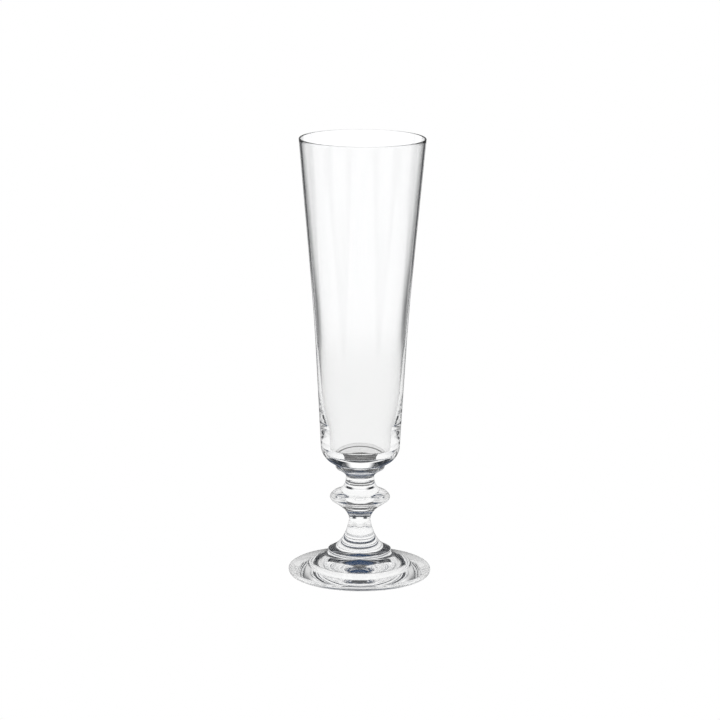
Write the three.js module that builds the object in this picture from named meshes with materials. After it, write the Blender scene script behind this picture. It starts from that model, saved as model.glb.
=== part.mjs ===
// A champagne flute in clear glass, built up hot from five gathers that are fused end to end:
// a blown bowl with a thick solid base, a merese (wafer collar), a bladed knop with its neck,
// a waisted lower stem that flares into a cone, and a spread foot.
// Millimetres, +Z up. The origin is the middle of the face that the foot stands on.
import * as THREE from 'three';

// Driving dimensions.
const HEIGHT = 205;
const RIM_RADIUS = 29.05;
const FOOT_RADIUS = 33.2;

// Heights of the four fused seams, from the foot up.
const FOOT_SEAM = 11;
const STEM_SEAM = 28.8;
const NECK_SEAM = 46.5;
const BOWL_SEAM = 52.3;

// Radii at those seams.
const FOOT_SEAM_RADIUS = 14.35;
const STEM_SEAM_RADIUS = 6;
const NECK_RADIUS = 6.55;
const BOWL_SEAM_RADIUS = 11.4;

// Every point below is [radius, height]. A curve is its Bezier controls and then its end point.

// Foot: a flat ring to stand on around a shallow kick, a thin rounded edge and a low slope.
const KICK_TOP = [0, 4.3];
const KICK_CURVE = [[14.6, 1.85], [21.1, 1.9], [21.6, 0]];
const STAND_EDGE = [32, 0];
const FOOT_LOWER_ROUND = [[FOOT_RADIUS, 0.1], [FOOT_RADIUS, 1.6]];
const FOOT_UPPER_ROUND = [[FOOT_RADIUS, 2.4], [32.4, 2.6]];
const FOOT_SLOPE = [[25.65, 5], [15.25, 7.1], [FOOT_SEAM_RADIUS, FOOT_SEAM]];

// Stem: the small lip of the cone, its flare up to the waist, and the swell under the knop.
const CONE_LIP = [[14.75, FOOT_SEAM], [14.75, 11.2]];
const CONE_FLARE = [[7.35, 14.05], [5.9, 20.95], [4.95, 25.35]];
const STEM_SWELL = [[4.95, 26.9], [5.6, 28.15], [STEM_SEAM_RADIUS, STEM_SEAM]];

// Knop: the underside, the rounded blade, and the shoulder that draws in to the neck.
const KNOP_UNDERSIDE = [[7.25, 31], [9.9, 32.65], [11.9, 34.15]];
const KNOP_BLADE = [[14.55, 35.6], [14.7, 36.8], [12.45, 38.65]];
const KNOP_SHOULDER = [[9.2, 39.65], [6.65, 41.35], [NECK_RADIUS, 45.9]];

// Merese: the flare from the neck and the rounded edge of the wafer.
const MERESE_FLARE = [[6.85, 47.7], [8.65, 49], [11, 50.2]];
const MERESE_LOWER_ROUND = [[11.5, 50.6], [11.5, 51.4]];
const MERESE_UPPER_ROUND = [[11.5, 52.1], [BOWL_SEAM_RADIUS, BOWL_SEAM]];

// Bowl, outside: the round of the base, a nearly straight wall, a soft bend, and the flare.
const BASE_ROUND = [[15.3, 53.65], [17.75, 56.5], [18.3, 60]];
const WALL_TOP = [21, 108.7];
const WALL_BEND = [[22.05, 126.4], [23.9, 147]];
const LIP_RADIUS = 0.42;

// Bowl, inside: the bend again, then the cavity draws in to a rounded corner and a low domed floor.
const CAVITY_TOP = [22.9, 147];
const CAVITY_BEND = [[20.95, 126.4], [19.8, 108.7]];
const CAVITY_WALL_LOW = [18.25, 88];
const CAVITY_DRAW = [[17.75, 80], [15.9, 71.5]];
const CAVITY_SHOULDER = [[14.7, 66], [14.25, 60.6]];
const CAVITY_CORNER = [[12.9, 58.6], [12.15, 57.3], [11.3, 58.1]];
const CAVITY_FLOOR = [[6, 58.4], [0, 58.4]];

// Facets: around the axis, and along each curved stretch of a profile.
const AROUND = 48;
const CURVE_STEPS = 5;

function clearGlass(color) {
  return new THREE.MeshStandardMaterial({
    color,
    roughness: 0.03,
    metalness: 0,
    transparent: true,
    opacity: 0.35,
  });
}

// A profile that sets out from the axis at a height. Each stretch after it is one end point (a
// straight line) or a list of Bezier controls and an end point.
function profile(start, ...stretches) {
  const path = new THREE.Path();
  path.moveTo(...start);
  for (const stretch of stretches) {
    const numbers = stretch.flat();
    if (numbers.length === 2) {
      path.lineTo(...numbers);
    } else if (numbers.length === 4) {
      path.quadraticCurveTo(...numbers);
    } else {
      path.bezierCurveTo(...numbers);
    }
  }
  return path;
}

// Turns a profile, drawn from the axis back to the axis, into a solid.
function turned(name, path, color) {
  const geometry = new THREE.LatheGeometry(path.getPoints(CURVE_STEPS), AROUND);
  geometry.rotateX(Math.PI / 2);
  const mesh = new THREE.Mesh(geometry, clearGlass(color));
  mesh.name = name;
  return mesh;
}

const footProfile = profile(
  KICK_TOP,
  KICK_CURVE,
  STAND_EDGE,
  FOOT_LOWER_ROUND,
  FOOT_UPPER_ROUND,
  FOOT_SLOPE,
  [0, FOOT_SEAM],
);

const stemProfile = profile(
  [0, FOOT_SEAM],
  [FOOT_SEAM_RADIUS, FOOT_SEAM],
  CONE_LIP,
  CONE_FLARE,
  STEM_SWELL,
  [0, STEM_SEAM],
);

const knopProfile = profile(
  [0, STEM_SEAM],
  [STEM_SEAM_RADIUS, STEM_SEAM],
  KNOP_UNDERSIDE,
  KNOP_BLADE,
  KNOP_SHOULDER,
  [NECK_RADIUS, NECK_SEAM],
  [0, NECK_SEAM],
);

const mereseProfile = profile(
  [0, NECK_SEAM],
  [NECK_RADIUS, NECK_SEAM],
  MERESE_FLARE,
  MERESE_LOWER_ROUND,
  MERESE_UPPER_ROUND,
  [0, BOWL_SEAM],
);

const bowlProfile = profile([0, BOWL_SEAM], [BOWL_SEAM_RADIUS, BOWL_SEAM], BASE_ROUND, WALL_TOP, WALL_BEND);
const lipHeight = HEIGHT - LIP_RADIUS;
bowlProfile.lineTo(RIM_RADIUS, lipHeight);
bowlProfile.absarc(RIM_RADIUS - LIP_RADIUS, lipHeight, LIP_RADIUS, 0, Math.PI, false);
bowlProfile.lineTo(...CAVITY_TOP);
bowlProfile.quadraticCurveTo(...CAVITY_BEND.flat());
bowlProfile.lineTo(...CAVITY_WALL_LOW);
bowlProfile.quadraticCurveTo(...CAVITY_DRAW.flat());
bowlProfile.quadraticCurveTo(...CAVITY_SHOULDER.flat());
bowlProfile.bezierCurveTo(...CAVITY_CORNER.flat());
bowlProfile.quadraticCurveTo(...CAVITY_FLOOR.flat());

const flute = new THREE.Group();
flute.add(turned('foot', footProfile, 0xdfe6ea));
flute.add(turned('stem', stemProfile, 0xe2e8ec));
flute.add(turned('knop', knopProfile, 0xdde4e9));
flute.add(turned('merese', mereseProfile, 0xe0e6ea));
flute.add(turned('bowl', bowlProfile, 0xe9edf0));

export default flute;
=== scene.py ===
"""A champagne flute in clear glass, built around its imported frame.

The flute is five gathers of glass, fused hot end to end: foot, stem, knop, merese and bowl.
Each gather is its own closed surface of revolution. Its flat ends, where it is fused to the next
one, let light straight through, so that the five read as one continuous body of glass.
"""
import math

import bpy
import numpy as np
from mathutils import Matrix, Vector


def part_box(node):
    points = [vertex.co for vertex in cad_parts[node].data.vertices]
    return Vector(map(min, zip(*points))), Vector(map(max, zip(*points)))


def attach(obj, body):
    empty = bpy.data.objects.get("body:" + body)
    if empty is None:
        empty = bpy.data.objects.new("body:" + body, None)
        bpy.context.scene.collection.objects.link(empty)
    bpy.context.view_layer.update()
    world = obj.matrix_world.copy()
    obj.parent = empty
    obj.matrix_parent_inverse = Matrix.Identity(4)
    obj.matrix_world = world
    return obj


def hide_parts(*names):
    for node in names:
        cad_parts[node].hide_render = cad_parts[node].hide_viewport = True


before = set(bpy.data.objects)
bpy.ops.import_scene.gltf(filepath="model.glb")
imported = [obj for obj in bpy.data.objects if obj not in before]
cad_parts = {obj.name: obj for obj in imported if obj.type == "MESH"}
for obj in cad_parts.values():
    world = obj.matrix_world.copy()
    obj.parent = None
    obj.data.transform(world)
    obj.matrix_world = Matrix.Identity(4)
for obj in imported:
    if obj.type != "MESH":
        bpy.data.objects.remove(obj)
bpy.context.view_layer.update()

# Sizes from the frame, in metres.
FOOT_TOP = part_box("foot")[1].z
FOOT_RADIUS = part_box("foot")[1].x
STEM_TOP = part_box("stem")[1].z
CONE_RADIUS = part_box("stem")[1].x
KNOP_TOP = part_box("knop")[1].z
MERESE_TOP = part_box("merese")[1].z
MERESE_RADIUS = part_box("merese")[1].x
RIM_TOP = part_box("bowl")[1].z
RIM_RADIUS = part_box("bowl")[1].x

MM = 0.001
AROUND = 192  # columns round the axis of every piece

# Radii of the fused seams.
FOOT_SEAM = 14.35 * MM
STEM_SEAM = 6.0 * MM
NECK_SEAM = 6.55 * MM
BOWL_SEAM = 11.4 * MM
LIP = 0.42 * MM  # radius of the rounded rim


# ---------------------------------------------------------------- outlines

def bend(*points, steps=24):
    """Bezier curve of any degree: the sum over k of C(n, k) (1 - t)^(n - k) t^k times point k."""
    points = np.array(points, float)
    degree = len(points) - 1
    t = np.linspace(0, 1, steps + 1)[:, None]
    k = np.arange(degree + 1)
    choose = np.array([math.comb(degree, int(i)) for i in k])
    weights = choose * (1 - t) ** (degree - k) * t ** k
    return weights @ points


def straight(start, end, steps=1):
    """Straight stretch from start to end: start plus t times the way to end."""
    return bend(start, end, steps=steps)


def seam(radius, height):
    """Flat end of a gather at a height: straight out from the axis to the radius."""
    return straight((0, height), (radius, height), steps=3)


def mm(*points):
    """Points given in millimetres, as an array in metres."""
    return np.array(points, float) * MM


def half_round(centre, radius, steps=16):
    """Half circle over the top: centre plus radius times (cos a, sin a), a from 0 to pi."""
    angle = np.linspace(0, math.pi, steps + 1)
    return centre + radius * np.column_stack([np.cos(angle), np.sin(angle)])


# ---------------------------------------------------------------- surfaces

def joined(stretches):
    """One outline from its stretches. Each is (points, fused); a shared end point is kept once.

    Returns the points and, for every step between them, whether it lies in a fused seam."""
    points = [stretches[0][0][:1]]
    fused = []
    for stretch, is_fused in stretches:
        points.append(stretch[1:])
        fused += [is_fused] * (len(stretch) - 1)
    return np.concatenate(points), np.array(fused)


def turned(name, stretches, node, glass):
    """Closed surface of revolution. Point (i, j) is outline point i turned by 2 pi j / AROUND.

    The two ends of the outline lie on the axis and close in fans."""
    outline, fused = joined(stretches)
    radius, height = outline[1:-1].T[:, :, None]
    angle = np.arange(AROUND) * (2 * math.pi / AROUND)
    rings = np.stack(
        [radius * np.cos(angle), radius * np.sin(angle), np.repeat(height, AROUND, axis=1)], axis=-1
    )
    poles = np.array([[0, 0, outline[0, 1]], [0, 0, outline[-1, 1]]])
    count = len(radius)
    here = np.arange(AROUND)
    ahead = np.roll(here, -1)
    row = np.arange(count - 1)[:, None] * AROUND
    quads = np.stack([row + here, row + ahead, row + AROUND + ahead, row + AROUND + here], axis=-1)
    quads = quads.reshape(-1, 4)
    first, last = count * AROUND, count * AROUND + 1
    top_row = (count - 1) * AROUND
    start_fan = np.stack([np.full(AROUND, first), ahead, here], axis=-1)
    end_fan = np.stack([np.full(AROUND, last), top_row + here, top_row + ahead], axis=-1)

    mesh = bpy.data.meshes.new(name)
    vertices = np.concatenate([rings.reshape(-1, 3), poles])
    mesh.from_pydata(vertices.tolist(), [], quads.tolist() + start_fan.tolist() + end_fan.tolist())
    on_seam = np.concatenate([np.repeat(fused[1:-1], AROUND), np.repeat(fused[[0, -1]], AROUND)])
    mesh.materials.append(glass)
    mesh.materials.append(fused_glass)
    mesh.polygons.foreach_set("material_index", on_seam.astype(np.int32))
    mesh.polygons.foreach_set("use_smooth", ~on_seam)
    mesh.update()
    piece = bpy.data.objects.new(name, mesh)
    bpy.context.scene.collection.objects.link(piece)
    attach(piece, "root")
    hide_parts(node)


# ---------------------------------------------------------------- shader wiring

# The colour sockets of a Mix node, which share their names with its other sockets.
MIX_FIRST = 6
MIX_SECOND = 7
MIX_COLOUR = 2


class Wire:
    """One socket of a node tree. Sums, differences, products, quotients and absolute values of wires
    add Math nodes.
    """

    def __init__(self, tree, socket):
        self.tree = tree
        self.socket = socket

    def maths(self, operation, *values):
        return Bench(self.tree).add("ShaderNodeMath", {"operation": operation}, dict(enumerate(values)))

    def __add__(self, other):
        return self.maths("ADD", self, other)

    def __radd__(self, other):
        return self.maths("ADD", other, self)

    def __sub__(self, other):
        return self.maths("SUBTRACT", self, other)

    def __rsub__(self, other):
        return self.maths("SUBTRACT", other, self)

    def __mul__(self, other):
        return self.maths("MULTIPLY", self, other)

    def __rmul__(self, other):
        return self.maths("MULTIPLY", other, self)

    def __truediv__(self, other):
        return self.maths("DIVIDE", self, other)

    def __abs__(self):
        return self.maths("ABSOLUTE", self)


class Bench:
    """A node tree to wire up. add() makes any node from its type, settings and inputs."""

    def __init__(self, tree):
        self.tree = tree

    def add(self, kind, settings=None, inputs=None, out=0):
        node = self.tree.nodes.new(kind)
        for name, value in (settings or {}).items():
            setattr(node, name, value)
        for key, value in (inputs or {}).items():
            if isinstance(value, Wire):
                self.tree.links.new(value.socket, node.inputs[key])
            else:
                node.inputs[key].default_value = value
        return Wire(self.tree, node.outputs[out]) if len(node.outputs) else None

    def ramp(self, value, low, high):
        """0 below low, 1 above high and a smooth step between; low may be the larger."""
        return self.add(
            "ShaderNodeMapRange",
            {"interpolation_type": "SMOOTHSTEP"},
            {"Value": value, "From Min": low, "From Max": high},
        )

    def noise(self, place, scale, detail, swirl):
        """Fractal noise between 0 and 1 at a scale per metre, bent by swirl."""
        inputs = {"Vector": place, "Scale": scale, "Detail": detail, "Distortion": swirl}
        return self.add("ShaderNodeTexNoise", inputs=inputs)

    def blend(self, factor, first, second):
        """A colour that goes from first to second as factor goes from 0 to 1."""
        return self.add(
            "ShaderNodeMix",
            {"data_type": "RGBA"},
            {"Factor": factor, MIX_FIRST: first, MIX_SECOND: second},
            out=MIX_COLOUR,
        )


def fresh(block):
    """The empty node tree of a material or world, ready to be wired."""
    block.use_nodes = True
    block.node_tree.nodes.clear()
    return Bench(block.node_tree)


def parts_of(bench, vector):
    """The X, Y and Z of a vector wire."""
    node = bench.add("ShaderNodeSeparateXYZ", inputs={0: vector})
    outputs = node.socket.node.outputs
    return [Wire(bench.tree, outputs[i]) for i in range(3)]


# ---------------------------------------------------------------- glass

GLASS_IOR = 1.52
RING_PITCH = 1.1 * MM
RING_HEIGHT = 0.0009 * MM
RING_SWAY = 9  # radians that the slow waves push the rings by
WAVE_HEIGHT = 0.006 * MM
CORD_HEIGHT = 0.0012 * MM
CORD_COLOUR = (0.9, 0.93, 0.92, 1)
CORD_SHARE = 0.12
CORD_EDGE = (0.45, 0.75)
DRAWN_OUT = (1, 1, 0.12)  # scales the place that the cords read, so that they run up the piece
SMEAR_EDGE = (0.58, 0.8)
SMEAR_ROUGHNESS = 0.03


def clear_glass(name, low_tint_and_shade, high_tint_and_shade, low, high, rings):
    """Clear glass, faintly grey, with painted shade that makes it darker towards the bottom: from the
    high colour at height high down to the low colour at low.

    Streaks run up it where the gather was drawn out, and faint cords in the melt colour it a little.
    The skin swells in slow waves, carries tool rings of the given height and is faintly smeared."""
    material = bpy.data.materials.new(name)
    bench = fresh(material)
    place = bench.add("ShaderNodeTexCoord", out="Object")
    height = parts_of(bench, place)[2]
    # Painted shade: the colour darkens towards the bottom with height alone. The even faint grey is the
    # glass's own.
    tint_and_shade = bench.blend(bench.ramp(height, low, high), low_tint_and_shade, high_tint_and_shade)
    drawn = bench.add("ShaderNodeVectorMath", {"operation": "MULTIPLY"}, {0: place, 1: DRAWN_OUT})
    cords = bench.noise(drawn, scale=260, detail=3, swirl=0.8)
    waves = bench.noise(place, scale=42, detail=1, swirl=0.3)
    smears = bench.noise(place, scale=85, detail=4, swirl=1.5)
    tint_and_shade = bench.blend(bench.ramp(cords, *CORD_EDGE) * CORD_SHARE, tint_and_shade, CORD_COLOUR)
    turns = height.maths("SINE", height * (2 * math.pi / RING_PITCH) + waves * RING_SWAY)
    skin = waves * WAVE_HEIGHT + cords * CORD_HEIGHT + turns * rings
    relief = bench.add("ShaderNodeBump", inputs={"Strength": 1.0, "Distance": 1.0, "Height": skin})
    shader = bench.add(
        "ShaderNodeBsdfPrincipled",
        inputs={
            "Base Color": tint_and_shade,
            "Roughness": bench.ramp(smears, *SMEAR_EDGE) * SMEAR_ROUGHNESS,
            "IOR": GLASS_IOR,
            "Transmission Weight": 1.0,
            "Normal": relief,
        },
    )
    bench.add("ShaderNodeOutputMaterial", inputs={"Surface": shader})
    return material


def seam_glass():
    """The fused ends of a gather: nothing is left of the surface there, so it lets all light by."""
    material = bpy.data.materials.new("fused_seam")
    bench = fresh(material)
    shader = bench.add("ShaderNodeBsdfPrincipled", inputs={"Alpha": 0.0, "Roughness": 1.0})
    bench.add("ShaderNodeOutputMaterial", inputs={"Surface": shader})
    return material


fused_glass = seam_glass()
# Both glasses have a faint grey of their own, with painted shade that darkens them towards the bottom.
blown_glass = clear_glass(
    "blown_glass",
    low_tint_and_shade=(0.97, 0.971, 0.97, 1),
    high_tint_and_shade=(0.985, 0.986, 0.986, 1),
    low=55 * MM,
    high=150 * MM,
    rings=0.0,
)
tooled_glass = clear_glass(
    "tooled_glass",
    low_tint_and_shade=(0.965, 0.966, 0.964, 1),
    high_tint_and_shade=(0.975, 0.975, 0.973, 1),
    low=0,
    high=60 * MM,
    rings=RING_HEIGHT,
)


# ---------------------------------------------------------------- pieces

def make_foot():
    """Low cone with a thin rounded edge, standing on a flat ring round a shallow kick."""
    edge = FOOT_RADIUS / MM
    kick = mm((0, 4.3), (14.6, 1.85), (21.1, 1.9), (21.6, 0))
    ring = mm((21.6, 0), (32, 0))
    lower_round = mm((32, 0), (edge, 0.1), (edge, 1.6))
    upper_round = mm((edge, 1.6), (edge, 2.4), (edge - 0.8, 2.6))
    slope = mm((edge - 0.8, 2.6), (25.65, 5), (15.25, 7.1))
    turned(
        "foot_glass",
        [
            (bend(*kick, steps=40), False),
            (straight(*ring, steps=6), False),
            (bend(*lower_round, steps=12), False),
            (bend(*upper_round, steps=8), False),
            (bend(*slope, (FOOT_SEAM, FOOT_TOP), steps=40), False),
            (seam(FOOT_SEAM, FOOT_TOP)[::-1], True),
        ],
        "foot", tooled_glass,
    )


def make_stem():
    """Waisted stem that flares into a cone with a small rounded lip where it meets the foot."""
    edge = CONE_RADIUS / MM
    lip = mm((edge, FOOT_TOP / MM), (edge, 11.2))
    flare = mm((edge, 11.2), (7.35, 14.05), (5.9, 20.95), (4.95, 25.35))
    swell = mm((4.95, 25.35), (4.95, 26.9), (5.6, 28.15))
    turned(
        "stem_glass",
        [
            (seam(FOOT_SEAM, FOOT_TOP), True),
            (bend((FOOT_SEAM, FOOT_TOP), *lip, steps=8), False),
            (bend(*flare, steps=48), False),
            (bend(*swell, (STEM_SEAM, STEM_TOP), steps=16), False),
            (seam(STEM_SEAM, STEM_TOP)[::-1], True),
        ],
        "stem", tooled_glass,
    )


def make_knop():
    """Bladed knop with the short neck above it."""
    underside = mm((7.25, 31), (9.9, 32.65), (11.9, 34.15))
    blade = mm((11.9, 34.15), (14.55, 35.6), (14.7, 36.8), (12.45, 38.65))
    shoulder = mm((12.45, 38.65), (9.2, 39.65), (6.65, 41.35), (6.55, 45.9))
    turned(
        "knop_glass",
        [
            (seam(STEM_SEAM, STEM_TOP), True),
            (bend((STEM_SEAM, STEM_TOP), *underside, steps=32), False),
            (bend(*blade, steps=32), False),
            (bend(*shoulder, steps=32), False),
            (straight(shoulder[-1], (NECK_SEAM, KNOP_TOP), steps=3), False),
            (seam(NECK_SEAM, KNOP_TOP)[::-1], True),
        ],
        "knop", tooled_glass,
    )


def make_merese():
    """Wafer collar between the neck and the bowl."""
    edge = MERESE_RADIUS / MM
    flare = mm((6.85, 47.7), (8.65, 49), (11, 50.2))
    lower_round = mm((11, 50.2), (edge, 50.6), (edge, 51.4))
    upper_round = mm((edge, 51.4), (edge, 52.1))
    turned(
        "merese_glass",
        [
            (seam(NECK_SEAM, KNOP_TOP), True),
            (bend((NECK_SEAM, KNOP_TOP), *flare, steps=32), False),
            (bend(*lower_round, steps=10), False),
            (bend(*upper_round, (BOWL_SEAM, MERESE_TOP), steps=10), False),
            (seam(BOWL_SEAM, MERESE_TOP)[::-1], True),
        ],
        "merese", tooled_glass,
    )


def make_bowl():
    """Blown bowl: a thick solid base, a nearly straight wall and a slight flare to the rim."""
    rim_low = RIM_TOP - LIP
    rim_inside = RIM_RADIUS - 2 * LIP
    base = mm((15.3, 53.65), (17.75, 56.5), (18.3, 60))
    wall = mm((18.3, 60), (21, 108.7))
    wall_bend = mm((21, 108.7), (22.05, 126.4), (23.9, 147))
    cavity_bend = mm((22.9, 147), (20.95, 126.4), (19.8, 108.7))
    cavity_wall = mm((19.8, 108.7), (18.25, 88))
    cavity_draw = mm((18.25, 88), (17.75, 80), (15.9, 71.5))
    cavity_shoulder = mm((15.9, 71.5), (14.7, 66), (14.25, 60.6))
    cavity_corner = mm((14.25, 60.6), (12.9, 58.6), (12.15, 57.3), (11.3, 58.1))
    cavity_floor = mm((11.3, 58.1), (6, 58.4), (0, 58.4))
    turned(
        "bowl_glass",
        [
            (seam(BOWL_SEAM, MERESE_TOP), True),
            (bend((BOWL_SEAM, MERESE_TOP), *base, steps=40), False),
            (straight(*wall, steps=40), False),
            (bend(*wall_bend, steps=30), False),
            (straight(wall_bend[-1], (RIM_RADIUS, rim_low), steps=40), False),
            (half_round((RIM_RADIUS - LIP, rim_low), LIP), False),
            (straight((rim_inside, rim_low), cavity_bend[0], steps=40), False),
            (bend(*cavity_bend, steps=30), False),
            (straight(*cavity_wall, steps=20), False),
            (bend(*cavity_draw, steps=40), False),
            (bend(*cavity_shoulder, steps=30), False),
            (bend(*cavity_corner, steps=24), False),
            (bend(*cavity_floor, steps=20), False),
        ],
        "bowl", blown_glass,
    )


make_foot()
make_stem()
make_knop()
make_merese()
make_bowl()


# ---------------------------------------------------------------- studio

# Light that the glass gathers from each part of the studio.
DARK = (0.020, 0.024, 0.031, 1)
TABLE = (1.06, 1.06, 1.06, 1)
PANEL = (1.15, 1.15, 1.155, 1)
SOFTBOX = (0.80, 0.80, 0.80, 1)
CEILING = (0.025, 0.055, 0.12, 1)
SHELF = (0.35, 0.36, 0.38, 1)
HAZE = (0.14, 0.14, 0.14, 1)
WHITE = (1, 1, 1, 1)

# Layout of the studio. Each pair of angles, in degrees, or of distances, in metres, is a soft edge
# that runs from unlit to lit.
PANEL_COUNT = 8  # evenly spaced round the glass
PANEL_EDGE = (18.5, 8.5)
THIN_PANEL_EDGE = (16.0, 6.0)
THIN_PANEL_LEAN = 0.5
PANEL_TOP = (12.0, 9.5)
SHEET_EDGE = (0.23, 0.18)
SHEET_END = (0.70, 0.55)
TABLE_END = (0.35, 0.60)  # from table alone to panels alone
BOX_SIDES = ((52.0, 72.0), (165.0, 150.0))
BOX_HEIGHTS = ((2.0, 8.0), (40.0, 34.0))
CEILING_START = (35.0, 45.0)
SHELF_HEIGHT = 30.5
SHELF_EDGE = (4.0, 1.5)
FLOOR_RADIUS = 4.0
FLOOR_SIDES = 96
FLOOR_LEVEL = -0.1 * MM

LENS = 142.2
SENSOR = 36.0
CAMERA_PLACE = (0, -1.2829, 0.3875)
CAMERA_TILT = (math.radians(12.562), math.radians(0.43), math.radians(0.02))  # pitch, roll, yaw
BOUNCES = 256  # enough for light trapped in the thick glass
SEAM_CROSSINGS = 32  # fused seams that one ray may pass


def off_panel(bench, across, ahead, lean=0.0):
    """Degrees between a direction and the middle of the nearest panel. The panels lie lean
    degrees to the left of the axes."""
    around = across.maths("ARCTAN2", across, ahead) / (2 * math.pi)
    turn = around * PANEL_COUNT + (0.5 + lean * PANEL_COUNT / 360)
    return abs(turn.maths("FRACT", turn) - 0.5) * (360 / PANEL_COUNT)


def panels(bench, across, ahead):
    """Two masks of the directions in which the panels stand, as thick and as thin glass show them."""
    thick = bench.ramp(off_panel(bench, across, ahead), *PANEL_EDGE)
    thin = bench.ramp(off_panel(bench, across, ahead, THIN_PANEL_LEAN), *THIN_PANEL_EDGE)
    return thick, thin


def light_seen(bench, through_thick, through_thin):
    """White to the eye. To light that has crossed one or two skins of glass, through_thick; to light
    that has crossed more, through_thin; and an even dim grey to reflections outside the glass and
    between the thin walls of the bowl."""
    path = bench.add("ShaderNodeLightPath").socket.node.outputs
    bounced = Wire(bench.tree, path["Glossy Depth"])
    bounced = bounced.maths("GREATER_THAN", bounced, 0.5)
    crossed = Wire(bench.tree, path["Transmission Depth"])
    thin = crossed.maths("GREATER_THAN", crossed, 2.5)
    outside = crossed.maths("LESS_THAN", crossed, 0.5)
    glow = bench.blend(thin, through_thick, through_thin)
    glow = bench.blend(bounced * thin.maths("MAXIMUM", thin, outside), glow, HAZE)
    return bench.blend(Wire(bench.tree, path["Is Camera Ray"]), glow, WHITE)


def make_floor():
    """Round floor that gives off its own light, with the panels' light on it further out.

    Near the glass, thick glass gathers a white cross from it and thin glass an even white."""
    angle = np.arange(FLOOR_SIDES) * (2 * math.pi / FLOOR_SIDES)
    level = np.full(FLOOR_SIDES, FLOOR_LEVEL)
    rim = np.column_stack([FLOOR_RADIUS * np.cos(angle), FLOOR_RADIUS * np.sin(angle), level])
    mesh = bpy.data.meshes.new("floor")
    mesh.from_pydata(rim.tolist(), [], [list(range(FLOOR_SIDES))])
    floor = bpy.data.objects.new("floor", mesh)
    bpy.context.scene.collection.objects.link(floor)
    material = bpy.data.materials.new("white_sweep")
    bench = fresh(material)
    place = bench.add("ShaderNodeTexCoord", out="Object")
    x, y, _ = parts_of(bench, place)
    reach = bench.add("ShaderNodeVectorMath", {"operation": "LENGTH"}, {0: place}, out="Value")
    far = bench.ramp(reach, *TABLE_END)
    pale = bench.blend(far, TABLE, PANEL)
    thick_panels, thin_panels = panels(bench, x, y)
    aside = abs(x).maths("MINIMUM", abs(x), abs(y))
    sheet = bench.ramp(aside, *SHEET_EDGE) * bench.ramp(reach, *SHEET_END)
    thick = sheet.maths("MAXIMUM", sheet, thick_panels * far)
    thin = thin_panels * far + (1 - far)
    glow = light_seen(bench, bench.blend(thick, DARK, pale), bench.blend(thin, DARK, pale))
    shader = bench.add("ShaderNodeEmission", inputs={"Color": glow, "Strength": 1.0})
    bench.add("ShaderNodeOutputMaterial", inputs={"Surface": shader})
    mesh.materials.append(material)


def make_world():
    """Bright panels up to a low edge, a soft box on either side, a pale shelf and a dark ceiling."""
    world = bpy.data.worlds.new("studio")
    bpy.context.scene.world = world
    bench = fresh(world)
    way = bench.add("ShaderNodeTexCoord", out="Generated")
    x, y, z = parts_of(bench, way)
    degrees = z.maths("ARCSINE", z) * (180 / math.pi)
    bearing = abs(x.maths("ARCTAN2", x, y)) * (180 / math.pi)
    box = bench.ramp(bearing, *BOX_SIDES[0]) * bench.ramp(bearing, *BOX_SIDES[1])
    box = box * bench.ramp(degrees, *BOX_HEIGHTS[0]) * bench.ramp(degrees, *BOX_HEIGHTS[1])
    above = bench.blend(bench.ramp(degrees, *CEILING_START), DARK, CEILING)
    above = bench.blend(bench.ramp(abs(degrees - SHELF_HEIGHT), *SHELF_EDGE), above, SHELF)
    low = bench.ramp(degrees, *PANEL_TOP)
    thick, thin = [
        bench.blend(box, bench.blend(panel * low, above, PANEL), SOFTBOX)
        for panel in panels(bench, x, y)
    ]
    glow = light_seen(bench, thick, thin)
    shader = bench.add("ShaderNodeBackground", inputs={"Color": glow, "Strength": 1.0})
    bench.add("ShaderNodeOutputWorld", inputs={"Surface": shader})


def make_camera():
    """Long lens, looking a little down on the glass."""
    camera = bpy.data.objects.new("camera", bpy.data.cameras.new("camera"))
    camera.data.lens = LENS
    camera.data.sensor_width = SENSOR
    pitch, roll, yaw = CAMERA_TILT
    turn = (
        Matrix.Rotation(yaw, 4, "Z")
        @ Matrix.Rotation(math.pi / 2 - pitch, 4, "X")
        @ Matrix.Rotation(roll, 4, "Z")
    )
    camera.matrix_world = Matrix.Translation(Vector(CAMERA_PLACE)) @ turn
    bpy.context.scene.collection.objects.link(camera)
    bpy.context.scene.camera = camera


make_floor()
make_world()
make_camera()

scene = bpy.context.scene
scene.view_settings.view_transform = "Standard"
scene.cycles.max_bounces = BOUNCES
scene.cycles.transmission_bounces = BOUNCES
scene.cycles.glossy_bounces = BOUNCES
scene.cycles.transparent_max_bounces = SEAM_CROSSINGS
